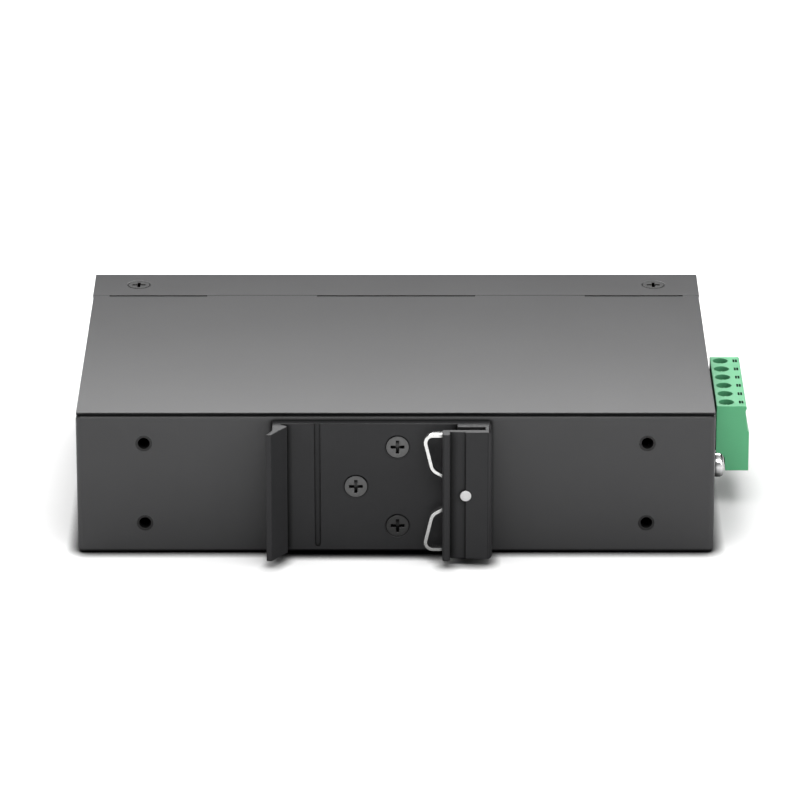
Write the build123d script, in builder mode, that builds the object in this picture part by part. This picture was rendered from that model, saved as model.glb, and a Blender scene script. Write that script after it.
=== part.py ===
from build123d import *
from math import radians, sqrt, tan
import os

# An ethernet media converter in a folded steel case, millimetres.
# X runs along the case, Y from the rail clip to the port side, Z up from the face it rests on.
# The origin is the middle of the resting face.

# Case
case_length = 135.0
case_depth = 87.5
case_height = 32.0
tray_sheet = 1.0
cover_sheet = 0.7
bend_radius = 1.2
panel_bend_radius = 1.0
flange_depth = 14.5
seam_gap = 0.15
end_wall_gap = 0.7
lid_inset = 0.15
lid_corner_radius = 0.6
lid_undercut = 0.55
end_flange_width = 3.5
rear_flange_width = 4.0
slip = 0.02
part_gap = 0.1
cut_margin = 2.0

# Step pressed up along the floor's rear edge
floor_step = 0.4
floor_step_inset = 14.25
floor_step_ramp = 0.8

# Tongues of the lid and the floor, tucked under the front panel's flanges
outer_tongue_width = 21.8
outer_tongue_inset = 14.6
outer_tongue_reach = 11.0
middle_tongue_width = 35.2
middle_tongue_reach = 4.0
tongue_ramp = 0.7

# Screws with an M3 thread
thread_radius = 1.5
thread_core_radius = 1.25
clearance_radius = 1.6
head_radius = 2.4
head_rim = 0.15
flange_head_drop = 0.03
flange_sink_radius = 2.62
clip_head_drop = 0.2
clip_sink_radius = 2.8
recess_length = 2.9
recess_width = 0.65
recess_depth = 1.1
screw_tip = 0.3
pan_head_radius = 2.6
pan_head_height = 1.9
pan_head_round = 0.9
collar_radius = 2.3
collar_height = 1.3
flange_screw_length = 6.0
flange_screw_end_inset = 9.95
flange_screw_inset = 7.55

# Clinch nuts pressed into the sheet
nut_shank_radius = 1.7
wide_nut_shank_radius = 2.1
nut_flange_radius = 2.9
nut_flange_height = 1.6
corner_nut_inset = 14.35
corner_nut_spacing_z = 18.06

# Rail clip, an extrusion cut to length; depths are measured out from the case's rear face
clip_end_margin = 1.7
clip_left = -25.95
plate_thickness = 2.1
foot_setback = 0.45
hook_groove_wall = -24.18
hook_groove_height = 2.57
hook_nose_low = (-23.03, 3.2)
hook_nose_high = (-22.83, 3.84)
hook_inner_bend = (-24.75, 6.55)
hook_tip_inner = (-26.1, 8.75)
hook_tip_outer = (-27.28, 8.6)
hook_outer_bend = (-26.33, 7.07)
hook_back_height = 5.8
pad_left = 12.98
pad_height = 3.97
arm_wall_inner = 18.86
arm_wall_outer = 20.35
arm_inner_height = 5.65
arm_outer_height = 7.3
arm_low_height = 6.9
arm_step = 14.7
lip_left = 9.85
lip_right = 11.45
lip_height = 8.8
lip_round = 0.4
arm_corner_round = 1.0
arm_end_round = 0.8
plate_groove_x = -16.5
plate_groove_width = 1.2
plate_groove_depth = 0.3
plate_groove_end = 0.7
clip_screw_length = 6.0
clip_screw_pair_x = 0.4
clip_screw_spacing = 17.86
clip_screw_side_x = -8.4

# Strip spring and its rivet
strip_thickness = 0.7
spring_play = 0.08
spring_end_x = 16.5
spring_rise = 12.87
loop_left = 5.85
loop_round = 1.6
neck_x = 7.75
neck_rise = 5.0
neck_round = 2.2
spring_lead_angle = 29.0
eye_bend_round = 1.6
eye_gap = 0.2
rivet_x = 14.74
rivet_radius = 1.0
rivet_head_radius = 1.175
rivet_head_rise = 0.08
rivet_depth = 1.2

# Ground screw on the terminal end
ground_y = -33.0
ground_screw_length = 6.0
washer_radius = 3.0
washer_thickness = 0.45

# Circuit board
board_thickness = 1.6
board_left_gap = 5.5
board_right_gap = 5.0
board_rear = -38.0
board_front = 41.0
standoff_height = 7.0
standoff_radius = 2.75
standoff_inset = 10.0
standoff_rear = -32.0
standoff_front = 24.0
board_screw_length = 6.0

# Six-way terminal: header on the board and the plug that pulls off it
# Distances along X are measured out from the case's end face
way_count = 6
way_pitch = 5.08
plug_near_y = -19.5
plug_face_out = 1.5
plug_top = 24.15
plug_bottom = 9.28
plug_out = 8.62
plug_top_out = 7.82
plug_bump = (8.05, 23.7)
plug_notch = (7.7, 22.7)
plug_step_top = (8.2, 18.55)
plug_step_low = 18.1
plug_foot_out = 3.65
plug_relief_start = (3.5, 12.1)
plug_relief_rise = 13.1
plug_relief_radius = 1.6
header_rear_in = 10.9
header_front_inset = 0.1
header_top = 23.0
header_side = 0.42
header_wall = 1.0
header_back_wall = 1.8
socket_bottom = 13.6
socket_top = 22.0
opening_gap = 0.4
plug_play = 0.3
tongue_tip_gap = 0.4
pin_side = 1.0
pin_z = 17.0
pin_front_in = 2.0
pin_leg_gap = 0.4
pin_tail = 1.2
pin_hole_radius = 0.8
cell_width = 2.9
cell_height = 3.6
contact_width = 2.4
contact_height = 3.0
contact_bore = 1.2
contact_front_in = 1.0
contact_inset = 0.4
tail_width = 2.0
tail_thickness = 0.5
tail_end_out = 4.5
clamp_out = 3.7
clamp_length = 3.0
clamp_width = 3.8
clamp_bottom = 13.6
clamp_top = 18.3
clamp_wall = 0.6
clamp_roof = 1.1
wire_width = 3.9
wire_bottom = 11.0
wire_top = 16.6
plug_screw_radius = 1.0
plug_screw_head_radius = 1.3
plug_screw_head = 1.6
plug_screw_slot = 0.45
driver_hole_radius = 1.65
driver_hole_point = 0.15
driver_point_side = 1.2
driver_rib_radius = 0.22
screw_shelf = 0.5
probe_out = 6.92
probe_length = 0.43
probe_width = 1.7
probe_spacing = 0.55
probe_depth = 5.0

# Copper port
jack_x = -35.0
jack_width = 16.2
jack_depth = 21.3
jack_height = 13.5
jack_shell = 0.3
port_proud = -0.25
port_gap = 0.3
jack_cavity_width = 11.8
jack_cavity_bottom = 2.6
jack_cavity_height = 6.8
jack_cavity_depth = 15.0
latch_width = 6.2
latch_height = 1.8
jack_wire_count = 8
jack_wire_pitch = 1.02
jack_wire_width = 0.4
jack_wire_reach = 11.5
jack_wire_return = 5.5
jack_wire_drop = 1.6

# Fibre port
cage_x = 5.0
cage_width = 14.6
cage_depth = 49.0
cage_height = 9.8
cage_sheet = 0.4
cage_floor_reach = 34.0
host_width = 12.0
host_depth = 9.0
host_height = 5.6
host_slot_height = 1.2
host_slot_depth = 6.0
host_rear_gap = 1.0

# Status lights
light_count = 5
light_pitch = 6.0
light_inset = 27.5
light_z = 16.4
light_radius = 1.5
light_hole_gap = 0.15
light_proud = 0.15
bar_height = 3.4
bar_depth = 3.4
bar_margin = 2.5
bar_panel_gap = 0.45
light_leg = 2.0
led_length = 1.6
led_width = 1.2
led_height = 0.8
led_gap = 0.3

# Parts on the board
chip_side = 14.0
chip_height = 1.4
chip_edge = 0.35
chip_x = -8.0
chip_y = -20.0
transformer_length = 15.0
transformer_width = 12.0
transformer_height = 6.0
transformer_edge = 0.6
transformer_y = 11.0
inductor_side = 12.0
inductor_height = 7.0
inductor_corner = 2.5
inductor_edge = 0.6
inductor_inset = 29.5
inductor_y = 4.0
capacitor_radius = 4.0
capacitor_height = 12.0
capacitor_neck = 0.35
capacitor_neck_rise = 2.0
capacitor_inset = 37.5
capacitor_y = -26.0
capacitor_spacing = 10.5
capacitor_count = 2
relay_length = 10.0
relay_width = 15.0
relay_height = 11.0
relay_edge = 0.55
relay_inset = 19.5
relay_y = -12.0
crystal_length = 11.0
crystal_width = 4.6
crystal_height = 3.5
crystal_edge = 0.35
crystal_x = -28.0
crystal_y = -20.0

# Places worked out from the sizes above
rear_y = -case_depth / 2
front_y = case_depth / 2
end_x = case_length / 2
mid_z = case_height / 2
tray_top = case_height - cover_sheet
seam_y = front_y - flange_depth
tray_front_y = front_y - cover_sheet - end_wall_gap
floor_front_y = seam_y - seam_gap
screw_y = front_y - flange_screw_inset
clip_height = case_height - 2 * clip_end_margin
clip_bottom = clip_end_margin
clip_top = clip_bottom + clip_height
floor_step_length = case_length - 2 * floor_step_inset
outer_tongue_x = end_x - outer_tongue_inset
board_left = board_left_gap - end_x
board_right = end_x - board_right_gap
board_bottom = tray_sheet + standoff_height
board_top = board_bottom + board_thickness
plug_length = way_count * way_pitch
plug_far_y = plug_near_y + plug_length
plug_mid_y = (plug_near_y + plug_far_y) / 2
plug_relief_end = (plug_face_out, plug_relief_rise)
plug_face_x = end_x + plug_face_out
plug_out_x = end_x + plug_out
clamp_x = end_x + clamp_out
probe_x = end_x + probe_out
tail_end_x = end_x + tail_end_out
driver_point_x = clamp_x + driver_hole_radius + driver_hole_point - driver_point_side / sqrt(2)
header_front_x = end_x - header_front_inset
header_rear_x = end_x - header_rear_in
pin_front_x = end_x - pin_front_in
contact_front_x = end_x - contact_front_in
header_length = plug_length + 2 * header_side
socket_length = header_length - 2 * header_wall
socket_rear_x = header_rear_x + header_back_wall
nose_tip_x = socket_rear_x + tongue_tip_gap
port_face_y = front_y + port_proud
pin_leg_x = header_rear_x - pin_leg_gap - pin_side / 2
clamp_floor = clamp_bottom + clamp_wall
clamp_ceiling = clamp_top - clamp_roof
screw_seat_z = clamp_top + screw_shelf
way_places = [plug_near_y + way_pitch * (way + 0.5) for way in range(way_count)]
light_x = end_x - light_inset
inductor_x = end_x - inductor_inset
capacitor_x = end_x - capacitor_inset
relay_x = end_x - relay_inset
light_places = [light_x + light_pitch * (n - (light_count - 1) / 2) for n in range(light_count)]

# Planes: each wall's own outer face
rear_plane = Plane.XZ.offset(-rear_y)
front_plane = Plane.XZ.offset(-front_y)
terminal_plane = Plane.YZ.offset(end_x)
board_plane = Plane.XY.offset(board_top)
# On the clip's plane the second direction is the depth out from the rear face
clip_plane = Plane(origin=(0, rear_y, clip_top), x_dir=(1, 0, 0), z_dir=(0, 0, -1))
# On the plug's plane the first direction is the distance out from the case's end
plug_plane = Plane(origin=(end_x, plug_far_y, 0), x_dir=(1, 0, 0), z_dir=(0, -1, 0))

corner_nut_places = [
    (sx * (end_x - corner_nut_inset), mid_z + sz * corner_nut_spacing_z / 2)
    for sx in (-1, 1) for sz in (-1, 1)
]
clip_screw_places = [
    (clip_screw_pair_x, mid_z + clip_screw_spacing / 2),
    (clip_screw_side_x, mid_z),
    (clip_screw_pair_x, mid_z - clip_screw_spacing / 2),
]
flange_screw_xs = [flange_screw_end_inset - end_x, end_x - flange_screw_end_inset]
standoff_places = [
    (sx * (end_x - standoff_inset), y) for sx in (-1, 1) for y in (standoff_rear, standoff_front)
]


def facing(origin, outward):
    """A location with its Z axis pointing outward at the given origin."""
    return Plane(origin=origin, z_dir=outward).location


def block(x_low, x_high, y_low, y_high, z_low, z_high):
    """A plain box between two corners."""
    with BuildPart() as body:
        with BuildSketch(Plane.XY.offset(z_low)):
            with Locations(((x_low + x_high) / 2, (y_low + y_high) / 2)):
                Rectangle(x_high - x_low, y_high - y_low)
        extrude(amount=z_high - z_low)
    return body.part


def cross_recess():
    """The driver's recess, cut down from the head's top."""
    with BuildPart() as recess:
        with BuildSketch():
            Rectangle(recess_length, recess_width)
            Rectangle(recess_width, recess_length)
        extrude(amount=-recess_depth)
    return recess.part


def countersunk_screw(length):
    """A countersunk screw, its head's top at the origin and its shank along -Z."""
    shank = thread_radius - slip
    cone_end = -head_rim - (head_radius - shank)
    with BuildPart() as screw:
        with BuildSketch(Plane.XZ):
            with BuildLine():
                Polyline(
                    (0, 0), (head_radius, 0), (head_radius, -head_rim), (shank, cone_end),
                    (shank, screw_tip - length), (shank - screw_tip, -length), (0, -length),
                    close=True,
                )
            make_face()
        revolve(axis=Axis.Z)
        add(cross_recess(), mode=Mode.SUBTRACT)
    return screw.part


def pan_screw(length):
    """A pan head screw, the head's underside at the origin and its shank along -Z."""
    shank = thread_radius - slip
    with BuildPart() as screw:
        with BuildSketch(Plane.XZ):
            with BuildLine():
                Polyline((0, pan_head_height), (0, -length), (shank - screw_tip, -length))
                Polyline((shank - screw_tip, -length), (shank, screw_tip - length), (shank, 0))
                Polyline(
                    (shank, 0), (pan_head_radius, 0),
                    (pan_head_radius, pan_head_height - pan_head_round),
                )
                RadiusArc(
                    (pan_head_radius, pan_head_height - pan_head_round),
                    (pan_head_radius - pan_head_round, pan_head_height),
                    -pan_head_round,
                )
                Line((pan_head_radius - pan_head_round, pan_head_height), (0, pan_head_height))
            make_face()
        revolve(axis=Axis.Z)
        with Locations((0, 0, pan_head_height)):
            add(cross_recess(), mode=Mode.SUBTRACT)
    return screw.part


def countersink(hole_radius, mouth_radius, length):
    """The hole for a countersunk screw, cut from the face at the origin down along -Z."""
    cone_depth = mouth_radius - hole_radius
    with BuildPart() as tool:
        with BuildSketch(Plane.XZ):
            with BuildLine():
                Polyline(
                    (0, cut_margin), (mouth_radius, cut_margin), (mouth_radius, 0),
                    (hole_radius, -cone_depth), (hole_radius, -length), (0, -length), close=True,
                )
            make_face()
        revolve(axis=Axis.Z)
    return tool.part


def clinch_nut(bore_radius, shank_radius):
    """A clinch nut, flush with the sheet's outer face at the origin, its flange behind the sheet."""
    with BuildPart() as nut:
        with BuildSketch():
            Circle(shank_radius)
        extrude(amount=-tray_sheet)
        with BuildSketch(Plane.XY.offset(-tray_sheet)):
            Circle(nut_flange_radius)
        extrude(amount=-nut_flange_height)
        Cylinder(bore_radius, 2 * (tray_sheet + nut_flange_height + cut_margin), mode=Mode.SUBTRACT)
    return nut.part


def sheet_tongue(width, reach, sheet, step):
    """A tongue that steps aside by one sheet and runs on along +Y; its root is at the origin."""
    with BuildPart() as tongue:
        with BuildSketch(Plane.YZ.offset(-width / 2)):
            with BuildLine():
                Polyline(
                    (-tongue_ramp, 0), (0, step), (reach, step), (reach, step - sheet),
                    (0, step - sheet), (-tongue_ramp, -sheet), close=True,
                )
            make_face()
        extrude(amount=width)
        corners = tongue.edges().filter_by(Axis.Z).group_by(Axis.Y)[-1]
        fillet(corners, sheet)
    return tongue.part


def tongue_relief(width, step):
    """The wedge left open over a tongue's ramp, its root at the origin."""
    with BuildPart() as relief:
        with BuildSketch(Plane.YZ.offset(-width / 2)):
            with BuildLine():
                Polyline(
                    (-tongue_ramp, 0), (-tongue_ramp, cut_margin), (cut_margin, cut_margin),
                    (cut_margin, step), (0, step), close=True,
                )
            make_face()
        extrude(amount=width)
    return relief.part


def floor_ridge(z_low):
    """The long low step pressed along the floor's rear edge, from z_low up."""
    with BuildPart() as ridge:
        with BuildSketch(Plane.XZ.offset(-rear_y + cut_margin)):
            half = floor_step_length / 2
            with BuildLine():
                Polyline(
                    (-half, z_low), (half, z_low), (half - floor_step_ramp, z_low + floor_step),
                    (floor_step_ramp - half, z_low + floor_step), close=True,
                )
            make_face()
        extrude(amount=-(flange_depth + cut_margin))
    return ridge.part


# Chassis: one folded sheet with a floor, two ends and a rear wall, and flanges turned in at the top
with BuildPart() as tray_cavity:
    inner_front_y = front_y + cut_margin
    add(block(
        tray_sheet - end_x, end_x - tray_sheet, rear_y + tray_sheet, inner_front_y,
        tray_sheet, tray_top - tray_sheet,
    ))
    front_edges = tray_cavity.faces().sort_by(Axis.Y)[-1].edges()
    fillet(tray_cavity.edges() - front_edges, bend_radius - tray_sheet)

with BuildPart() as chassis:
    add(block(-end_x, end_x, rear_y, tray_front_y, 0, tray_top))
    front_edges = chassis.faces().sort_by(Axis.Y)[-1].edges()
    fillet(chassis.edges() - front_edges, bend_radius)
    add(floor_ridge(0), mode=Mode.SUBTRACT)
    add(tray_cavity.part, mode=Mode.SUBTRACT)
    add(floor_ridge(tray_sheet) - block(
        -end_x, end_x, rear_y - case_depth, rear_y + tray_sheet / 2, 0, case_height))
    # Mouth between the flanges
    add(block(
        end_flange_width - end_x, end_x - end_flange_width, rear_y + rear_flange_width, inner_front_y,
        mid_z, case_height,
    ), mode=Mode.SUBTRACT)
    # Floor cut back to the seam, and the ends' lower edges clear of the panel's flange
    add(block(
        tray_sheet - end_x, end_x - tray_sheet, floor_front_y, inner_front_y, -cut_margin, tray_sheet,
    ), mode=Mode.SUBTRACT)
    add(block(
        -case_length, case_length, floor_front_y, inner_front_y, -cut_margin, cover_sheet,
    ), mode=Mode.SUBTRACT)
    with Locations(*[
        Location((side * outer_tongue_x, floor_front_y, 0), (0, 180, 0)) for side in (-1, 1)
    ]):
        add(sheet_tongue(outer_tongue_width, outer_tongue_reach, tray_sheet, -cover_sheet))
        add(tongue_relief(outer_tongue_width, -cover_sheet), mode=Mode.SUBTRACT)
    # Collars for the lower flange screws stand up inside
    for x in flange_screw_xs:
        with Locations((x, screw_y, cover_sheet + tray_sheet + collar_height / 2)):
            Cylinder(collar_radius, collar_height)
        with Locations(facing((x, screw_y, 0), (0, 0, -1))):
            add(countersink(thread_radius, flange_sink_radius, mid_z), mode=Mode.SUBTRACT)
    # Opening for the terminal header
    with BuildSketch(terminal_plane):
        opening_low = board_top - opening_gap
        opening_high = header_top + opening_gap
        with Locations((plug_mid_y, (opening_low + opening_high) / 2)):
            RectangleRounded(
                header_length + 2 * opening_gap, opening_high - opening_low, opening_gap)
    extrude(amount=-(tray_sheet + cut_margin), mode=Mode.SUBTRACT)
    # Holes for the clinch nuts
    with BuildSketch(terminal_plane):
        with Locations((ground_y, mid_z)):
            Circle(wide_nut_shank_radius + slip)
    extrude(amount=-(tray_sheet + cut_margin), mode=Mode.SUBTRACT)
    with BuildSketch(rear_plane):
        with Locations(*corner_nut_places):
            Circle(nut_shank_radius + slip)
        with Locations(*clip_screw_places):
            Circle(wide_nut_shank_radius + slip)
    extrude(amount=-(tray_sheet + cut_margin), mode=Mode.SUBTRACT)


# Lid: a flat sheet with three tongues stepped down under the front panel's flange
with BuildPart() as lid:
    add(block(lid_inset - end_x, end_x - lid_inset, rear_y, floor_front_y, tray_top, case_height))
    fillet(lid.edges().filter_by(Axis.Z).group_by(Axis.Y)[0], lid_corner_radius)
    # Rear edge cut back under its lip
    with BuildSketch(Plane.YZ):
        with BuildLine():
            Polyline(
                (rear_y, tray_top), (rear_y + lid_undercut, tray_top),
                (rear_y, tray_top + lid_undercut), close=True,
            )
        make_face()
    extrude(amount=end_x, both=True, mode=Mode.SUBTRACT)
    for x in (-outer_tongue_x, outer_tongue_x):
        with Locations((x, floor_front_y, case_height)):
            add(sheet_tongue(outer_tongue_width, outer_tongue_reach, cover_sheet, -cover_sheet))
            add(tongue_relief(outer_tongue_width, -cover_sheet), mode=Mode.SUBTRACT)
    with Locations((0, floor_front_y, case_height)):
        add(sheet_tongue(middle_tongue_width, middle_tongue_reach, cover_sheet, -cover_sheet))
        add(tongue_relief(middle_tongue_width, -cover_sheet), mode=Mode.SUBTRACT)
    for x in flange_screw_xs:
        with Locations((x, screw_y, tray_top - cover_sheet - collar_height / 2)):
            Cylinder(collar_radius, collar_height)
        with Locations((x, screw_y, case_height)):
            add(countersink(thread_radius, flange_sink_radius, mid_z), mode=Mode.SUBTRACT)

# Front panel: the port face with a flange folded back along its top and bottom
with BuildPart() as panel_cavity:
    add(block(
        -case_length, case_length, seam_y - cut_margin, front_y - cover_sheet, cover_sheet, tray_top,
    ))
    inner_corners = panel_cavity.edges().filter_by(Axis.X).group_by(Axis.Y)[-1]
    fillet(inner_corners, panel_bend_radius - cover_sheet)

with BuildPart() as front_panel:
    add(block(-end_x, end_x, seam_y, front_y, 0, case_height))
    outer_corners = front_panel.edges().filter_by(Axis.X).group_by(Axis.Y)[-1]
    fillet(outer_corners, panel_bend_radius)
    add(panel_cavity.part, mode=Mode.SUBTRACT)
    # Port and light openings
    with BuildSketch(front_plane):
        with Locations((jack_x, board_top + jack_height / 2)):
            Rectangle(jack_width + 2 * port_gap, jack_height + 2 * port_gap)
        with Locations((cage_x, board_top + cage_height / 2)):
            Rectangle(cage_width + 2 * port_gap, cage_height + 2 * port_gap)
        with Locations(*[(x, light_z) for x in light_places]):
            Circle(light_radius + light_hole_gap)
    extrude(amount=2 * cover_sheet, both=True, mode=Mode.SUBTRACT)
    for x in flange_screw_xs:
        with Locations((x, screw_y, case_height)):
            add(countersink(clearance_radius, flange_sink_radius, mid_z), mode=Mode.SUBTRACT)
        with Locations(facing((x, screw_y, 0), (0, 0, -1))):
            add(countersink(clearance_radius, flange_sink_radius, mid_z), mode=Mode.SUBTRACT)

# Four countersunk screws through the panel's flanges
with BuildPart() as flange_screws:
    with Locations(*[(x, screw_y, case_height - flange_head_drop) for x in flange_screw_xs]):
        add(countersunk_screw(flange_screw_length))
    with Locations(*[facing((x, screw_y, flange_head_drop), (0, 0, -1)) for x in flange_screw_xs]):
        add(countersunk_screw(flange_screw_length))

# Clinch nuts in the rear wall and for the ground screw
with BuildPart() as clinch_nuts:
    with Locations(*[facing((x, rear_y, z), (0, -1, 0)) for x, z in corner_nut_places]):
        add(clinch_nut(thread_core_radius, nut_shank_radius))
    with Locations(*[facing((x, rear_y, z), (0, -1, 0)) for x, z in clip_screw_places]):
        add(clinch_nut(thread_radius, wide_nut_shank_radius))
    with Locations(facing((end_x, ground_y, mid_z), (1, 0, 0))):
        add(clinch_nut(thread_radius, wide_nut_shank_radius))

# Rail clip: the extruded section, then its holes and groove
with BuildPart() as rail_clip:
    with BuildSketch(clip_plane):
        with BuildLine():
            arm_round_start = (arm_wall_outer - arm_corner_round, arm_outer_height)
            arm_round_end = (arm_wall_outer, arm_outer_height - arm_corner_round)
            Polyline(
                (clip_left, 0), (clip_left, hook_back_height), hook_outer_bend, hook_tip_outer,
                hook_tip_inner, hook_inner_bend, hook_nose_high, hook_nose_low,
                (hook_groove_wall, hook_groove_height), (hook_groove_wall, plate_thickness),
                (pad_left, plate_thickness), (pad_left, pad_height), (arm_wall_inner, pad_height),
                (arm_wall_inner, arm_inner_height), (lip_left, arm_inner_height),
                (lip_left, lip_height - lip_round), (lip_left + lip_round, lip_height),
                (lip_right - lip_round, lip_height), (lip_right, lip_height - lip_round),
                (lip_right, arm_low_height), (arm_step, arm_low_height),
                (arm_step, arm_outer_height), arm_round_start,
            )
            arm_round_centre = (
                arm_wall_outer - arm_corner_round, arm_outer_height - arm_corner_round)
            CenterArc(arm_round_centre, arm_corner_round, 90, -90)
            Polyline(
                arm_round_end, (arm_wall_outer, plate_thickness + foot_setback),
                (arm_wall_outer - foot_setback, plate_thickness),
                (arm_wall_outer - foot_setback, 0), (clip_left, 0),
            )
        make_face()
    extrude(amount=clip_height)
    # The arm's outer corners are rounded where the extrusion was cut
    with BuildSketch(rear_plane.offset(plate_thickness)):
        for side in (-1, 1):
            corner_z = mid_z + side * (clip_height / 2 - arm_end_round)
            with Locations((arm_wall_outer, mid_z + side * clip_height / 2)):
                Rectangle(2 * arm_end_round, 2 * arm_end_round)
            with Locations((arm_wall_outer - arm_end_round, corner_z)):
                Circle(arm_end_round, mode=Mode.SUBTRACT)
            with Locations((arm_wall_outer - arm_end_round, corner_z - side * arm_end_round)):
                Rectangle(2 * arm_end_round, 2 * arm_end_round, mode=Mode.SUBTRACT)
    extrude(amount=lip_height, mode=Mode.SUBTRACT)
    # Guide groove in the plate, stopped short of the lower end
    with BuildSketch(rear_plane.offset(plate_thickness)):
        groove_low = clip_bottom + plate_groove_end
        groove_high = clip_top + cut_margin
        with Locations((plate_groove_x, (groove_low + groove_high) / 2)):
            SlotOverall(groove_high - groove_low, plate_groove_width, rotation=90)
    extrude(amount=-plate_groove_depth, mode=Mode.SUBTRACT)
    with Locations(*[
        facing((x, rear_y - plate_thickness, z), (0, -1, 0)) for x, z in clip_screw_places
    ]):
        clip_hole = countersink(
            clearance_radius, clip_sink_radius, plate_thickness + cut_margin / 2)
        add(clip_hole, mode=Mode.SUBTRACT)
    # Rivet hole through the arm and on into the pad, sunk for the head on the arm's low side
    with BuildSketch(rear_plane.offset(lip_height)):
        with Locations((rivet_x, mid_z)):
            Circle(rivet_radius + slip)
    extrude(amount=-(lip_height - pad_height + rivet_depth), mode=Mode.SUBTRACT)
    with BuildSketch(rear_plane.offset(lip_height)):
        with Locations((rivet_x, mid_z)):
            Circle(rivet_head_radius + slip)
    extrude(amount=-(lip_height - arm_low_height), mode=Mode.SUBTRACT)

with BuildPart() as clip_screws:
    with Locations(*[
        facing((x, rear_y - plate_thickness + clip_head_drop, z), (0, -1, 0))
        for x, z in clip_screw_places
    ]):
        add(countersunk_screw(clip_screw_length))

# Strip spring on edge: one loop above and one below, joined by an eye round the rivet
with BuildPart() as clip_spring:
    strip_low = pad_height + spring_play
    strip_high = arm_inner_height - spring_play
    eye_radius = rivet_radius + eye_gap + strip_thickness / 2
    eye_lead_x = neck_x + (neck_rise - eye_radius) / tan(radians(spring_lead_angle))
    with BuildSketch(rear_plane.offset(strip_low)):
        with BuildLine() as strip_path:
            FilletPolyline(
                (spring_end_x, mid_z + spring_rise), (loop_left, mid_z + spring_rise),
                (neck_x, mid_z + neck_rise), (eye_lead_x, mid_z + eye_radius),
                (rivet_x, mid_z + eye_radius),
                radius=(loop_round, neck_round, eye_bend_round),
            )
            CenterArc((rivet_x, mid_z), eye_radius, 90, -180)
            FilletPolyline(
                (rivet_x, mid_z - eye_radius), (eye_lead_x, mid_z - eye_radius),
                (neck_x, mid_z - neck_rise), (loop_left, mid_z - spring_rise),
                (spring_end_x, mid_z - spring_rise),
                radius=(eye_bend_round, neck_round, loop_round),
            )
            offset(amount=strip_thickness / 2, side=Side.BOTH, closed=True, mode=Mode.REPLACE)
        make_face()
    extrude(amount=strip_high - strip_low)

with BuildPart() as clip_rivet:
    with BuildSketch(rear_plane.offset(pad_height - rivet_depth + slip)):
        with Locations((rivet_x, mid_z)):
            Circle(rivet_radius)
    extrude(amount=arm_outer_height - pad_height + rivet_depth - slip)
    with BuildSketch(rear_plane.offset(arm_low_height)):
        with Locations((rivet_x, mid_z)):
            Circle(rivet_head_radius)
    extrude(amount=arm_outer_height + rivet_head_rise - arm_low_height)
    fillet(clip_rivet.edges().group_by(Axis.Y)[0], rivet_head_rise)

# Ground screw and its washer on the terminal end
with BuildPart() as ground_washer:
    with BuildSketch(terminal_plane):
        with Locations((ground_y, mid_z)):
            Circle(washer_radius)
            Circle(clearance_radius, mode=Mode.SUBTRACT)
    extrude(amount=washer_thickness)

with BuildPart() as ground_screw:
    with Locations(facing((end_x + washer_thickness, ground_y, mid_z), (1, 0, 0))):
        add(pan_screw(ground_screw_length))

# Circuit board on its standoffs
with BuildPart() as circuit_board:
    add(block(board_left, board_right, board_rear, board_front, board_bottom, board_top))
    with BuildSketch(board_plane):
        with Locations(*standoff_places):
            Circle(clearance_radius)
        with Locations(*[(pin_leg_x, y) for y in way_places]):
            Circle(pin_hole_radius)
    extrude(amount=-board_thickness, mode=Mode.SUBTRACT)

with BuildPart() as board_standoffs:
    with BuildSketch(Plane.XY.offset(tray_sheet)):
        with Locations(*standoff_places):
            RegularPolygon(standoff_radius, 6)
            Circle(thread_radius, mode=Mode.SUBTRACT)
    extrude(amount=standoff_height)

with BuildPart() as board_screws:
    with Locations(*[(x, y, board_top) for x, y in standoff_places]):
        add(pan_screw(board_screw_length))

# Terminal header: a socket open through the case's end, closed behind
with BuildPart() as terminal_header:
    add(block(
        header_rear_x, header_front_x, plug_mid_y - header_length / 2, plug_mid_y + header_length / 2,
        board_top, header_top,
    ))
    add(block(
        socket_rear_x, header_front_x + cut_margin, plug_mid_y - socket_length / 2,
        plug_mid_y + socket_length / 2, socket_bottom, socket_top,
    ), mode=Mode.SUBTRACT)
    with BuildSketch(Plane.YZ.offset(header_rear_x)):
        with Locations(*[(y, pin_z) for y in way_places]):
            Rectangle(pin_side + 2 * slip, pin_side + 2 * slip)
    extrude(amount=header_back_wall, mode=Mode.SUBTRACT)

# Bent pins: through the header's back wall and down through the board
with BuildPart() as header_pins:
    for y in way_places:
        with BuildSketch(Plane.XZ.offset(-y - pin_side / 2)):
            with BuildLine():
                Polyline(
                    (pin_leg_x - pin_side / 2, board_bottom - pin_tail),
                    (pin_leg_x + pin_side / 2, board_bottom - pin_tail),
                    (pin_leg_x + pin_side / 2, pin_z - pin_side / 2),
                    (pin_front_x, pin_z - pin_side / 2),
                    (pin_front_x, pin_z + pin_side / 2),
                    (pin_leg_x - pin_side / 2, pin_z + pin_side / 2),
                    close=True,
                )
            make_face()
        extrude(amount=pin_side)

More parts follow.
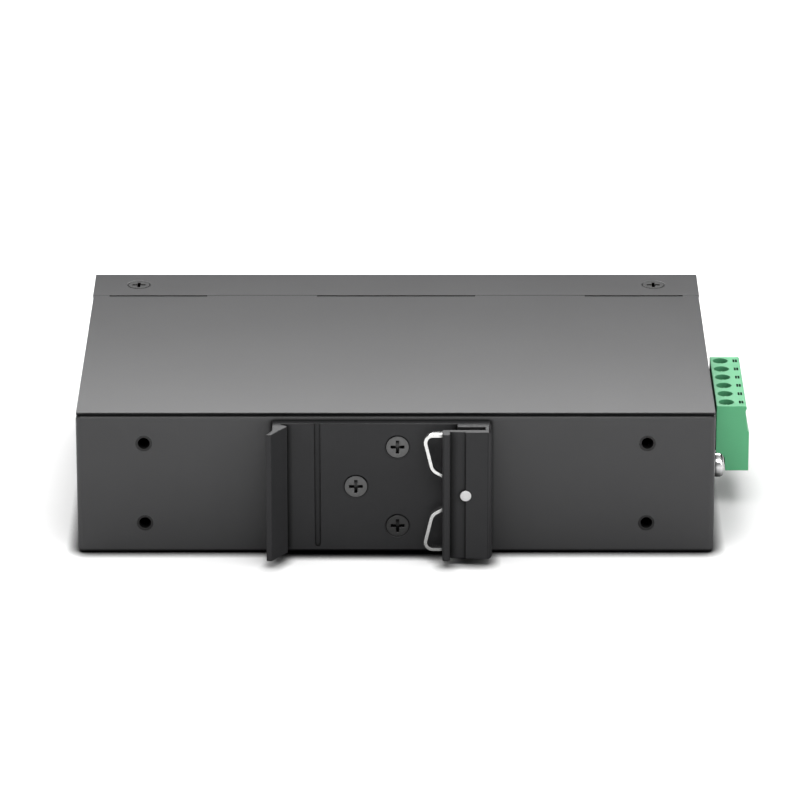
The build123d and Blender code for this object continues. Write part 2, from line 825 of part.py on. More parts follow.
# Terminal plug: the moulding with its nose, cells, clamp chambers, wire and driver holes
with BuildPart() as terminal_plug:
    with BuildSketch(plug_plane):
        with BuildLine():
            Polyline(
                plug_relief_end, (plug_face_out, plug_top), (plug_top_out, plug_top), plug_bump,
                plug_notch, plug_step_top, (plug_out, plug_step_low), (plug_out, plug_bottom),
                (plug_foot_out, plug_bottom), plug_relief_start,
            )
            RadiusArc(plug_relief_start, plug_relief_end, -plug_relief_radius)
        make_face()
    extrude(amount=plug_length)
    add(block(
        nose_tip_x, plug_face_x + part_gap, plug_mid_y - socket_length / 2 + plug_play,
        plug_mid_y + socket_length / 2 - plug_play, socket_bottom + plug_play, socket_top - plug_play,
    ))
    for y in way_places:
        add(block(
            nose_tip_x - cut_margin, clamp_x, y - cell_width / 2, y + cell_width / 2,
            pin_z - cell_height / 2, pin_z + cell_height / 2,
        ), mode=Mode.SUBTRACT)
        chamber_low_x = clamp_x - clamp_length / 2 - part_gap
        chamber_high_x = clamp_x + clamp_length / 2 + part_gap
        add(block(
            chamber_low_x, chamber_high_x, y - clamp_width / 2 - part_gap,
            y + clamp_width / 2 + part_gap, clamp_bottom, clamp_top + part_gap,
        ), mode=Mode.SUBTRACT)
        add(block(
            chamber_high_x - part_gap, plug_out_x + cut_margin, y - wire_width / 2,
            y + wire_width / 2, wire_bottom, wire_top,
        ), mode=Mode.SUBTRACT)
    # Driver holes from above, drawn out to a point towards the wire side
    with BuildSketch(Plane.XY.offset(plug_top)):
        with Locations(*[(clamp_x, y) for y in way_places]):
            Circle(driver_hole_radius)
        with Locations(*[(driver_point_x, y) for y in way_places]):
            Rectangle(driver_point_side, driver_point_side, rotation=45)
        with Locations(*[(clamp_x, y - driver_hole_radius) for y in way_places]):
            Circle(driver_rib_radius, mode=Mode.SUBTRACT)
    extrude(amount=screw_seat_z - plug_top, mode=Mode.SUBTRACT)
    with BuildSketch(Plane.XY.offset(screw_seat_z)):
        with Locations(*[(clamp_x, y) for y in way_places]):
            Circle(plug_screw_radius + part_gap)
    extrude(amount=clamp_top - screw_seat_z, mode=Mode.SUBTRACT)
    with BuildSketch(Plane.XY.offset(plug_top)):
        with Locations(*[
            (probe_x + side * probe_spacing / 2, y) for y in way_places for side in (-1, 1)
        ]):
            Rectangle(probe_length, probe_width)
    extrude(amount=-probe_depth, mode=Mode.SUBTRACT)

# What each way holds: a socket on the pin, a frame round its tail and the wire, and a screw
with BuildPart() as plug_contacts:
    for y in way_places:
        add(block(
            nose_tip_x + contact_inset, contact_front_x, y - contact_width / 2, y + contact_width / 2,
            pin_z - contact_height / 2, pin_z + contact_height / 2,
        ))
        add(block(
            nose_tip_x, contact_front_x, y - contact_bore / 2, y + contact_bore / 2,
            pin_z - contact_bore / 2, pin_z + contact_bore / 2,
        ), mode=Mode.SUBTRACT)
        add(block(
            contact_front_x, tail_end_x, y - tail_width / 2, y + tail_width / 2,
            clamp_ceiling - tail_thickness, clamp_ceiling,
        ))

with BuildPart() as plug_clamps:
    with BuildSketch(Plane.YZ.offset(clamp_x - clamp_length / 2)):
        with Locations(*[(y, (clamp_bottom + clamp_top) / 2) for y in way_places]):
            Rectangle(clamp_width, clamp_top - clamp_bottom)
        with Locations(*[(y, (clamp_floor + clamp_ceiling) / 2) for y in way_places]):
            Rectangle(
                clamp_width - 2 * clamp_wall, clamp_ceiling - clamp_floor, mode=Mode.SUBTRACT)
    extrude(amount=clamp_length)
    with BuildSketch(Plane.XY.offset(clamp_top)):
        with Locations(*[(clamp_x, y) for y in way_places]):
            Circle(plug_screw_radius + slip)
    extrude(amount=clamp_ceiling - clamp_top, mode=Mode.SUBTRACT)

with BuildPart() as plug_screws:
    with BuildSketch(Plane.XY.offset(screw_seat_z)):
        with Locations(*[(clamp_x, y) for y in way_places]):
            Circle(plug_screw_head_radius)
    extrude(amount=plug_screw_head)
    with BuildSketch(Plane.XY.offset(screw_seat_z)):
        with Locations(*[(clamp_x, y) for y in way_places]):
            Circle(plug_screw_radius)
    extrude(amount=clamp_ceiling - screw_seat_z)
    with BuildSketch(Plane.XY.offset(screw_seat_z + plug_screw_head)):
        with Locations(*[(clamp_x, y) for y in way_places]):
            Rectangle(2 * plug_screw_head_radius, plug_screw_slot)
    extrude(amount=-plug_screw_head / 2, mode=Mode.SUBTRACT)

# Copper port: a moulded insert with sprung contact wires, in a folded metal shell
with BuildPart() as jack_shield:
    jack_left = jack_x - jack_width / 2
    jack_right = jack_x + jack_width / 2
    jack_rear_y = port_face_y - jack_depth
    jack_top = board_top + jack_height
    add(block(jack_left, jack_right, jack_rear_y, port_face_y, board_top, jack_top))
    fillet(jack_shield.edges().filter_by(Axis.Y).group_by(Axis.Z)[-1], jack_shell)
    add(block(
        jack_left + jack_shell, jack_right - jack_shell, jack_rear_y + jack_shell,
        port_face_y + cut_margin, board_top - cut_margin, jack_top - jack_shell,
    ), mode=Mode.SUBTRACT)

with BuildPart() as jack_insert:
    add(block(
        jack_left + jack_shell, jack_right - jack_shell, jack_rear_y + jack_shell, port_face_y,
        board_top, jack_top - jack_shell,
    ))
    cavity_low = board_top + jack_cavity_bottom
    cavity_high = cavity_low + jack_cavity_height
    cavity_rear_y = port_face_y - jack_cavity_depth
    with BuildSketch(Plane.XZ.offset(-port_face_y)):
        with Locations((jack_x, (cavity_low + cavity_high) / 2)):
            Rectangle(jack_cavity_width, jack_cavity_height)
        with Locations((jack_x, cavity_low - latch_height / 2)):
            Rectangle(latch_width, latch_height)
    extrude(amount=jack_cavity_depth, mode=Mode.SUBTRACT)

with BuildPart() as jack_contacts:
    for wire in range(jack_wire_count):
        wire_x = jack_x + jack_wire_pitch * (wire - (jack_wire_count - 1) / 2)
        wire_top_z = cavity_high - part_gap
        bend_y = cavity_rear_y + jack_wire_reach
        with BuildSketch(Plane.YZ.offset(wire_x - jack_wire_width / 2)):
            with BuildLine():
                Polyline(
                    (cavity_rear_y, wire_top_z), (bend_y, wire_top_z),
                    (bend_y + jack_wire_width, wire_top_z - jack_wire_width),
                    (bend_y - jack_wire_return, wire_top_z - jack_wire_width - jack_wire_drop),
                    (bend_y - jack_wire_return, wire_top_z - jack_wire_drop),
                    (bend_y - jack_wire_width, wire_top_z - jack_wire_width),
                    (cavity_rear_y, wire_top_z - jack_wire_width), close=True,
                )
            make_face()
        extrude(amount=jack_wire_width)

# Fibre port: a folded cage open at the panel and, behind its floor, over the host connector
with BuildPart() as sfp_cage:
    cage_left = cage_x - cage_width / 2
    cage_right = cage_x + cage_width / 2
    cage_rear_y = port_face_y - cage_depth
    cage_top = board_top + cage_height
    add(block(cage_left, cage_right, cage_rear_y, port_face_y, board_top, cage_top))
    fillet(sfp_cage.edges().filter_by(Axis.Y), cage_sheet)
    add(block(
        cage_left + cage_sheet, cage_right - cage_sheet, cage_rear_y + cage_sheet,
        port_face_y + cut_margin, board_top + cage_sheet, cage_top - cage_sheet,
    ), mode=Mode.SUBTRACT)
    add(block(
        cage_left + cage_sheet, cage_right - cage_sheet, cage_rear_y + cage_sheet,
        port_face_y - cage_floor_reach, board_top - cut_margin, board_top + cage_height / 2,
    ), mode=Mode.SUBTRACT)

with BuildPart() as sfp_connector:
    host_rear_y = cage_rear_y + cage_sheet + host_rear_gap
    add(block(
        cage_x - host_width / 2, cage_x + host_width / 2, host_rear_y, host_rear_y + host_depth,
        board_top, board_top + host_height,
    ))
    slot_z = board_top + host_height / 2
    slot_half = host_width / 2 - host_rear_gap
    add(block(
        cage_x - slot_half, cage_x + slot_half, host_rear_y + host_depth - host_slot_depth,
        host_rear_y + host_depth + cut_margin, slot_z - host_slot_height / 2,
        slot_z + host_slot_height / 2,
    ), mode=Mode.SUBTRACT)

# Status lights: one clear moulding behind the panel and a light under each of its legs
bar_length = light_pitch * (light_count - 1) + light_leg + 2 * bar_margin
bar_front_y = front_y - cover_sheet - bar_panel_gap
bar_rear_y = bar_front_y - bar_depth
leg_y = board_front - light_leg / 2
with BuildPart() as light_pipe:
    add(block(
        light_x - bar_length / 2, light_x + bar_length / 2, bar_rear_y, bar_front_y,
        light_z - bar_height / 2, light_z + bar_height / 2,
    ))
    with BuildSketch(front_plane.offset(-light_proud)):
        with Locations(*[(x, light_z) for x in light_places]):
            Circle(light_radius)
    extrude(amount=front_y + light_proud - bar_front_y + part_gap)
    with BuildSketch(Plane.XY.offset(light_z)):
        with Locations(*[(x, leg_y) for x in light_places]):
            Rectangle(light_leg, light_leg)
    extrude(amount=board_top + led_height + led_gap - light_z)
    # A foot at each end stands on the board
    with BuildSketch(Plane.XY.offset(light_z)):
        foot_x = (bar_length - light_leg) / 2
        with Locations((light_x - foot_x, leg_y), (light_x + foot_x, leg_y)):
            Rectangle(light_leg, light_leg)
    extrude(amount=board_top - light_z)

with BuildPart() as status_leds:
    with BuildSketch(board_plane):
        with Locations(*[(x, leg_y) for x in light_places]):
            Rectangle(led_length, led_width)
    extrude(amount=led_height)

# Larger parts on the board
with BuildPart() as main_chip:
    with BuildSketch(board_plane):
        with Locations((chip_x, chip_y)):
            Rectangle(chip_side, chip_side)
    extrude(amount=chip_height)
    chamfer(main_chip.faces().sort_by(Axis.Z)[-1].edges(), chip_edge)

with BuildPart() as network_transformer:
    with BuildSketch(board_plane):
        with Locations((jack_x, transformer_y)):
            Rectangle(transformer_length, transformer_width)
    extrude(amount=transformer_height)
    chamfer(network_transformer.faces().sort_by(Axis.Z)[-1].edges(), transformer_edge)

with BuildPart() as power_inductor:
    with BuildSketch(board_plane):
        with Locations((inductor_x, inductor_y)):
            RectangleRounded(inductor_side, inductor_side, inductor_corner)
    extrude(amount=inductor_height)
    fillet(power_inductor.faces().sort_by(Axis.Z)[-1].edges(), inductor_edge)

with BuildPart() as capacitor_can:
    with BuildSketch(Plane.XZ):
        with BuildLine():
            Polyline(
                (0, 0), (capacitor_radius, 0), (capacitor_radius, capacitor_neck_rise - capacitor_neck),
                (capacitor_radius - capacitor_neck, capacitor_neck_rise),
                (capacitor_radius, capacitor_neck_rise + capacitor_neck),
                (capacitor_radius, capacitor_height - capacitor_neck),
                (capacitor_radius - capacitor_neck, capacitor_height), (0, capacitor_height),
                close=True,
            )
        make_face()
    revolve(axis=Axis.Z)

with BuildPart() as capacitors:
    with Locations(*[
        (capacitor_x + n * capacitor_spacing, capacitor_y, board_top) for n in range(capacitor_count)
    ]):
        add(capacitor_can.part)

with BuildPart() as alarm_relay:
    with BuildSketch(board_plane):
        with Locations((relay_x, relay_y)):
            Rectangle(relay_length, relay_width)
    extrude(amount=relay_height)
    chamfer(alarm_relay.edges().filter_by(Axis.Z), relay_edge)

with BuildPart() as crystal:
    with BuildSketch(board_plane):
        with Locations((crystal_x, crystal_y)):
            SlotOverall(crystal_length, crystal_width)
    extrude(amount=crystal_height)
    fillet(crystal.faces().sort_by(Axis.Z)[-1].edges(), crystal_edge)

# Write every piece to its own file, named as its node
os.makedirs("parts", exist_ok=True)
chassis.part.label = "chassis"
export_step(chassis.part, "parts/chassis.step")
lid.part.label = "lid"
export_step(lid.part, "parts/lid.step")
front_panel.part.label = "front_panel"
export_step(front_panel.part, "parts/front_panel.step")
flange_screws.part.label = "flange_screws"
export_step(flange_screws.part, "parts/flange_screws.step")
clinch_nuts.part.label = "clinch_nuts"
export_step(clinch_nuts.part, "parts/clinch_nuts.step")
rail_clip.part.label = "rail_clip"
export_step(rail_clip.part, "parts/rail_clip.step")
clip_screws.part.label = "clip_screws"
export_step(clip_screws.part, "parts/clip_screws.step")
clip_spring.part.label = "clip_spring"
export_step(clip_spring.part, "parts/clip_spring.step")
clip_rivet.part.label = "clip_rivet"
export_step(clip_rivet.part, "parts/clip_rivet.step")
ground_washer.part.label = "ground_washer"
export_step(ground_washer.part, "parts/ground_washer.step")
ground_screw.part.label = "ground_screw"
export_step(ground_screw.part, "parts/ground_screw.step")
circuit_board.part.label = "circuit_board"
export_step(circuit_board.part, "parts/circuit_board.step")
board_standoffs.part.label = "board_standoffs"
export_step(board_standoffs.part, "parts/board_standoffs.step")
board_screws.part.label = "board_screws"
export_step(board_screws.part, "parts/board_screws.step")
terminal_header.part.label = "terminal_header"
export_step(terminal_header.part, "parts/terminal_header.step")
header_pins.part.label = "header_pins"
export_step(header_pins.part, "parts/header_pins.step")
terminal_plug.part.label = "terminal_plug"
export_step(terminal_plug.part, "parts/terminal_plug.step")
plug_contacts.part.label = "plug_contacts"
export_step(plug_contacts.part, "parts/plug_contacts.step")
plug_clamps.part.label = "plug_clamps"
export_step(plug_clamps.part, "parts/plug_clamps.step")
plug_screws.part.label = "plug_screws"
export_step(plug_screws.part, "parts/plug_screws.step")
jack_shield.part.label = "jack_shield"
export_step(jack_shield.part, "parts/jack_shield.step")
jack_insert.part.label = "jack_insert"
export_step(jack_insert.part, "parts/jack_insert.step")
jack_contacts.part.label = "jack_contacts"
export_step(jack_contacts.part, "parts/jack_contacts.step")
sfp_cage.part.label = "sfp_cage"
export_step(sfp_cage.part, "parts/sfp_cage.step")
sfp_connector.part.label = "sfp_connector"
export_step(sfp_connector.part, "parts/sfp_connector.step")
light_pipe.part.label = "light_pipe"
export_step(light_pipe.part, "parts/light_pipe.step")
status_leds.part.label = "status_leds"
export_step(status_leds.part, "parts/status_leds.step")
main_chip.part.label = "main_chip"
export_step(main_chip.part, "parts/main_chip.step")
network_transformer.part.label = "network_transformer"
export_step(network_transformer.part, "parts/network_transformer.step")
power_inductor.part.label = "power_inductor"
export_step(power_inductor.part, "parts/power_inductor.step")
capacitors.part.label = "capacitors"
export_step(capacitors.part, "parts/capacitors.step")
alarm_relay.part.label = "alarm_relay"
export_step(alarm_relay.part, "parts/alarm_relay.step")
crystal.part.label = "crystal"
export_step(crystal.part, "parts/crystal.step")
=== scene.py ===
import logging
import math
from dataclasses import dataclass
from enum import Enum
from typing import Union

import bmesh
import bpy
from mathutils import Matrix, Vector


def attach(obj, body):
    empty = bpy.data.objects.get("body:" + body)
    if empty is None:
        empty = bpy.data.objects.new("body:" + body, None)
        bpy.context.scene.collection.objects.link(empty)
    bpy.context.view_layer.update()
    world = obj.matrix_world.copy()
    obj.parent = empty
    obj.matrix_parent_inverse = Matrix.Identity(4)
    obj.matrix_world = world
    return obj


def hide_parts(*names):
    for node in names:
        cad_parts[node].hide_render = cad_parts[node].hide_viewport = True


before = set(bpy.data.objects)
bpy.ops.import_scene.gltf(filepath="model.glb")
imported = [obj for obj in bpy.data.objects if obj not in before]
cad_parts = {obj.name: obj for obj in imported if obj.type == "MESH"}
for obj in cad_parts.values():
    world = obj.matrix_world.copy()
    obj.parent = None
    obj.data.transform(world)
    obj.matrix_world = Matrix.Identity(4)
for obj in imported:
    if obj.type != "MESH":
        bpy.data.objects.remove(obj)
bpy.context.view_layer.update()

MM = 0.001
log = logging.getLogger("converter")

Colour = tuple[float, float, float]
Number = Union[float, int, "Socket"]
BLACK: Colour = (0.0, 0.0, 0.0)


class Body(Enum):
    """The two rigid bodies of the converter."""

    CASE = "case"
    PLUG = "plug"


@dataclass(frozen=True)
class Grain:
    """The settings of one smooth noise.

    Attributes:
        scale: waves in a metre.
        detail: octaves.
        roughness: strength of the finer octaves.
    """

    scale: float
    detail: float
    roughness: float


class Socket:
    """One output of a shader node, with the arithmetic that the finishes use."""

    def __init__(self, shader: "Shader", link: bpy.types.NodeSocket) -> None:
        """Wrap a socket.

        Args:
            shader: the material's node tree that the socket belongs to.
            link: the output socket itself.
        """
        self.shader = shader
        self.link = link

    def _math(self, operation: str, first: Number, second: Number) -> "Socket":
        """Add one Math node.

        Args:
            operation: the Math node's operation.
            first: its first value.
            second: its second value.

        Returns:
            The node's output.
        """
        return self.shader.node("ShaderNodeMath", {"operation": operation}, {0: first, 1: second})

    def __add__(self, other: Number) -> "Socket":
        """Sum with a number or socket."""
        return self._math("ADD", self, other)

    def __radd__(self, other: Number) -> "Socket":
        """Sum with a number on the left."""
        return self._math("ADD", other, self)

    def __sub__(self, other: Number) -> "Socket":
        """Difference with a number or socket."""
        return self._math("SUBTRACT", self, other)

    def __rsub__(self, other: Number) -> "Socket":
        """Difference from a number on the left."""
        return self._math("SUBTRACT", other, self)

    def __mul__(self, other: Number) -> "Socket":
        """Product with a number or socket."""
        return self._math("MULTIPLY", self, other)

    def __rmul__(self, other: Number) -> "Socket":
        """Product with a number on the left."""
        return self._math("MULTIPLY", other, self)

    def __pow__(self, other: Number) -> "Socket":
        """Power of a number or socket."""
        return self._math("POWER", self, other)

    def clamp(self, low: float, high: float) -> "Socket":
        """Hold the value between two limits.

        Args:
            low: the lowest value let through.
            high: the highest value let through.

        Returns:
            The limited value.
        """
        return self._math("MINIMUM", self._math("MAXIMUM", self, low), high)


class Shader:
    """The node tree of a material or world, built from expressions.

    Attributes:
        shade_samples: rays that each look at the neighbours takes.
        deepest_shade: the most black that the painted shade in a recess gets.
    """

    shade_samples = 8
    deepest_shade = 0.92

    def __init__(self, owner: Union[bpy.types.Material, bpy.types.World]) -> None:
        """Empty the node tree of a new material or world.

        Args:
            owner: the material or world.
        """
        owner.use_nodes = True
        self.owner = owner
        self.tree = owner.node_tree
        self.tree.nodes.clear()

    @classmethod
    def named(cls, name: str) -> "Shader":
        """Start a new material.

        Args:
            name: the material's name.

        Returns:
            Its shader.
        """
        return cls(bpy.data.materials.new(name))

    def node(self, kind: str, settings: dict, values: dict, output: Union[int, str] = 0) -> Socket:
        """Add any node.

        Args:
            kind: the node's type name.
            settings: properties of the node, set before its sockets.
            values: numbers, colours or sockets for its inputs, by index or name.
            output: which output to hand back.

        Returns:
            The chosen output.
        """
        made = self.tree.nodes.new(kind)
        for key, value in settings.items():
            setattr(made, key, value)
        for key, value in values.items():
            if isinstance(value, Socket):
                self.tree.links.new(value.link, made.inputs[key])
            else:
                made.inputs[key].default_value = value
        return Socket(self, made.outputs[output])

    def place(self) -> Socket:
        """The point on the object, in metres."""
        return self.node("ShaderNodeTexCoord", {}, {}, "Object")

    def stretched(self, scale: tuple[float, float, float]) -> Socket:
        """The object's point, stretched along its axes.

        Args:
            scale: the factor along each axis.

        Returns:
            The stretched point.
        """
        return self.node("ShaderNodeMapping", {}, {"Vector": self.place(), "Scale": scale})

    def noise(self, where: Socket, grain: Grain) -> Socket:
        """Smooth noise over a point.

        Args:
            where: the point.
            grain: the noise's settings.

        Returns:
            A value from 0 to 1.
        """
        return self.node("ShaderNodeTexNoise", {}, {
            "Vector": where, "Scale": grain.scale, "Detail": grain.detail,
            "Roughness": grain.roughness,
        })

    def blend(
        self, share: Number, first: Union[Colour, Socket], second: Union[Colour, Socket]
    ) -> Socket:
        """Mix two colours.

        Args:
            share: how much of the second colour, from 0 to 1.
            first: the first colour.
            second: the second colour.

        Returns:
            The mixed colour.
        """
        start, end = (
            colour if isinstance(colour, Socket) else (*colour, 1.0) for colour in (first, second))
        # A Mix node's colours are its inputs 6 and 7 and its output 2.
        return self.node(
            "ShaderNodeMix", {"data_type": "RGBA"}, {0: share, 6: start, 7: end}, 2)

    def toned(self, share: Number, colour: Colour, tones: tuple[float, float]) -> Socket:
        """Vary a colour between two of its tones.

        Args:
            share: how much of the second tone, from 0 to 1.
            colour: the colour.
            tones: what the colour's channels are multiplied by in each tone.

        Returns:
            The varied colour, with no channel above 1.
        """
        first, second = (
            tuple(min(1.0, channel * tone) for channel in colour) for tone in tones)
        return self.blend(share, first, second)

    def along(self, where: Socket, axis: str) -> Socket:
        """One coordinate of a point.

        Args:
            where: the point.
            axis: the coordinate's letter.

        Returns:
            The coordinate.
        """
        return self.node("ShaderNodeSeparateXYZ", {}, {0: where}, axis)

    def ease(self, value: Socket, limits: tuple[float, float, float, float]) -> Socket:
        """Go smoothly from one level to another.

        Args:
            value: what the level depends on.
            limits: where the change starts and ends, and the level before and after it.

        Returns:
            The level.
        """
        names = ("From Min", "From Max", "To Min", "To Max")
        values = {"Value": value, **dict(zip(names, limits))}
        return self.node("ShaderNodeMapRange", {"interpolation_type": "SMOOTHSTEP"}, values)

    def openness(self, reach: float) -> Socket:
        """How open the surface is to the air around it.

        Args:
            reach: how far away a neighbour still shades it, in metres.

        Returns:
            1 on an open face, less in a recess.
        """
        settings = {"samples": self.shade_samples}
        return self.node("ShaderNodeAmbientOcclusion", settings, {"Distance": reach}, "AO")

    def bump(self, height: Number, depth: float, strength: float) -> Socket:
        """Turn a height into a normal.

        Args:
            height: the height, from 0 to 1.
            depth: the real depth that 1 stands for, in metres.
            strength: how much of it to apply.

        Returns:
            The bumped normal.
        """
        values = {"Height": height, "Distance": depth, "Strength": strength}
        return self.node("ShaderNodeBump", {}, values, "Normal")

    def surface(self, sockets: dict) -> bpy.types.Material:
        """Close the tree with a principled surface.

        Args:
            sockets: values or links for the surface's inputs.

        Returns:
            The finished material.
        """
        self.close(self.node("ShaderNodeBsdfPrincipled", {}, sockets, "BSDF"))
        return self.owner

    def painted_recess_shade(self, base: Socket, reach: float, depth: float) -> Socket:
        """Paint shade into a colour inside holes, slots and seams, where the surface is less open
        to the air.

        Args:
            base: the colour on an open face.
            reach: the size of the recesses, in metres.
            depth: how quickly the painted shade darkens the colour.

        Returns:
            The darkened colour.
        """
        # Painted shade: the less open the point, the more the colour is blended towards black.
        shade = (1.0 - self.openness(reach)) * depth
        return self.blend(shade.clamp(0.0, self.deepest_shade), base, BLACK)

    def close(self, shade: Socket, kind: str = "ShaderNodeOutputMaterial") -> None:
        """Join a closure to the tree's output.

        Args:
            shade: the closure.
            kind: the type of the output node.
        """
        closing = self.tree.nodes.new(kind)
        self.tree.links.new(shade.link, closing.inputs["Surface"])


# In each finish a noise varies the roughness: it starts roughness_dip under the finish's own
# roughness and adds up to roughness_swing. tones are the two tones that its colour varies
# between, recess is the size of the holes and seams that get painted shade, and
# painted_shade_depth says how quickly the painted shade darkens them.


@dataclass(frozen=True)
class PowderCoat:
    """Fine-grained baked paint on sheet steel."""

    name: str
    colour: Colour
    roughness: float = 0.3
    roughness_dip: float = 0.03
    roughness_swing: float = 0.06
    sheen_level: float = 0.26
    peel: Grain = Grain(2600.0, 2.0, 0.45)
    peel_depth: float = 6e-6
    peel_strength: float = 0.6
    cloud: Grain = Grain(38.0, 3.0, 0.55)
    tones: tuple[float, float] = (0.9, 1.14)
    recess: float = 1.0 * MM
    painted_shade_depth: float = 3.2

    def material(self) -> bpy.types.Material:
        """Build the finish.

        Returns:
            The material.
        """
        shader = Shader.named(self.name)
        where = shader.place()
        peel = shader.noise(where, self.peel)
        cloud = shader.noise(where, self.cloud)
        base = shader.toned(cloud, self.colour, self.tones)
        spread = self.roughness - self.roughness_dip + self.roughness_swing * peel
        return shader.surface({
            # Painted shade in holes, slots and seams.
            "Base Color": shader.painted_recess_shade(base, self.recess, self.painted_shade_depth),
            "Roughness": spread + (1.0 - shader.openness(self.recess)),
            "Specular IOR Level": self.sheen_level,
            "Normal": shader.bump(peel, self.peel_depth, self.peel_strength),
        })


@dataclass(frozen=True)
class Extrusion:
    """Anodised aluminium with the die's fine lines along its length."""

    name: str
    colour: Colour
    roughness: float = 0.48
    roughness_dip: float = 0.05
    roughness_swing: float = 0.12
    metallic: float = 0.14
    sheen_level: float = 0.2
    lines: Grain = Grain(3200.0, 3.0, 0.6)
    line_stretch: tuple[float, float, float] = (1.0, 1.0, 0.02)
    line_depth: float = 6e-6
    line_strength: float = 0.5
    cloud: Grain = Grain(120.0, 2.0, 0.5)
    cloud_share: float = 0.5
    tones: tuple[float, float] = (1.0, 1.3)
    recess: float = 1.8 * MM
    painted_shade_depth: float = 2.4

    def material(self) -> bpy.types.Material:
        """Build the finish.

        Returns:
            The material.
        """
        shader = Shader.named(self.name)
        lines = shader.noise(shader.stretched(self.line_stretch), self.lines)
        cloud = shader.noise(shader.place(), self.cloud)
        share = cloud * self.cloud_share + lines * (1.0 - self.cloud_share)
        base = shader.toned(share, self.colour, self.tones)
        return shader.surface({
            # Painted shade in holes, slots and seams.
            "Base Color": shader.painted_recess_shade(base, self.recess, self.painted_shade_depth),
            "Metallic": self.metallic,
            "Specular IOR Level": self.sheen_level,
            "Roughness": self.roughness - self.roughness_dip + self.roughness_swing * lines,
            "Normal": shader.bump(lines, self.line_depth, self.line_strength),
        })


@dataclass(frozen=True)
class PlainMetal:
    """Bare or plated metal with faint wear marks.

    Below the height painted_shade_top, if there is one, painted shade darkens the metal's colour
    over the length painted_shade_fade.
    """

    name: str
    colour: Colour
    roughness: float = 0.25
    roughness_dip: float = 0.05
    roughness_swing: float = 0.12
    marks: Grain = Grain(900.0, 4.0, 0.6)
    fine: Grain = Grain(4500.0, 2.0, 0.5)
    fine_depth: float = 4e-6
    fine_strength: float = 0.5
    tones: tuple[float, float] = (1.0, 0.86)
    recess: float = 0.9 * MM
    painted_shade_depth: float = 1.5
    painted_shade_top: float = 0.0
    painted_shade_fade: float = 2.0 * MM
    painted_shade_strength: float = 0.5

    def material(self) -> bpy.types.Material:
        """Build the finish.

        Returns:
            The material.
        """
        shader = Shader.named(self.name)
        where = shader.place()
        marks = shader.noise(where, self.marks)
        fine = shader.noise(where, self.fine)
        base = shader.toned(marks, self.colour, self.tones)
        # Painted shade in holes, slots and seams.
        base = shader.painted_recess_shade(base, self.recess, self.painted_shade_depth)
        # Painted shade: the colour darkens towards black below a height, darker towards the
        # bottom.
        if self.painted_shade_top:
            limits = (self.painted_shade_top - self.painted_shade_fade, self.painted_shade_top, self.painted_shade_strength, 0.0)
            base = shader.blend(shader.ease(shader.along(where, "Z"), limits), base, BLACK)
        return shader.surface({
            "Base Color": base,
            "Metallic": 1.0,
            "Roughness": self.roughness - self.roughness_dip + self.roughness_swing * marks,
            "Normal": shader.bump(fine, self.fine_depth, self.fine_strength),
        })


@dataclass(frozen=True)
class Moulding:
    """Moulded plastic with a spark-eroded skin."""

    name: str
    colour: Colour
    roughness: float = 0.42
    roughness_dip: float = 0.03
    roughness_swing: float = 0.06
    sheen_level: float = 0.5
    skin: Grain = Grain(4200.0, 2.0, 0.5)
    skin_depth: float = 8e-6
    skin_strength: float = 0.5
    flow: Grain = Grain(90.0, 3.0, 0.5)
    tones: tuple[float, float] = (0.9, 1.08)
    recess: float = 2.0 * MM
    painted_shade_depth: float = 2.2
    transmission: float = 0.0
    clear_index: float = 1.49

    def material(self) -> bpy.types.Material:
        """Build the finish.

        Returns:
            The material.
        """
        shader = Shader.named(self.name)
        where = shader.place()
        skin = shader.noise(where, self.skin)
        flow = shader.noise(where, self.flow)
        base = shader.toned(flow, self.colour, self.tones)
        sockets = {
            # Painted shade in holes, slots and seams.
            "Base Color": shader.painted_recess_shade(base, self.recess, self.painted_shade_depth),
            "Roughness": self.roughness - self.roughness_dip + self.roughness_swing * skin,
            "Specular IOR Level": self.sheen_level,
            "Normal": shader.bump(skin, self.skin_depth, self.skin_strength),
        }
        if self.transmission:
            sockets["Transmission Weight"] = self.transmission
            sockets["IOR"] = self.clear_index
        return shader.surface(sockets)


@dataclass(frozen=True)
class Laminate:
    """A circuit board's solder mask over glass weave."""

    name: str
    colour: Colour
    roughness: float = 0.3
    roughness_swing: float = 0.1
    weave: Grain = Grain(700.0, 2.0, 0.5)
    thread_ratio: float = 6.0
    thread_depth: float = 1e-5
    thread_strength: float = 0.4
    tones: tuple[float, float] = (1.0, 1.5)

    def material(self) -> bpy.types.Material:
        """Build the finish.

        Returns:
            The material.
        """
        shader = Shader.named(self.name)
        warp = shader.noise(shader.stretched((1.0, self.thread_ratio, 1.0)), self.weave)
        weft = shader.noise(shader.stretched((self.thread_ratio, 1.0, 1.0)), self.weave)
        return shader.surface({
            "Base Color": shader.toned(warp * weft, self.colour, self.tones),
            "Roughness": self.roughness + self.roughness_swing * warp,
            "Normal": shader.bump(warp + weft, self.thread_depth, self.thread_strength),
        })


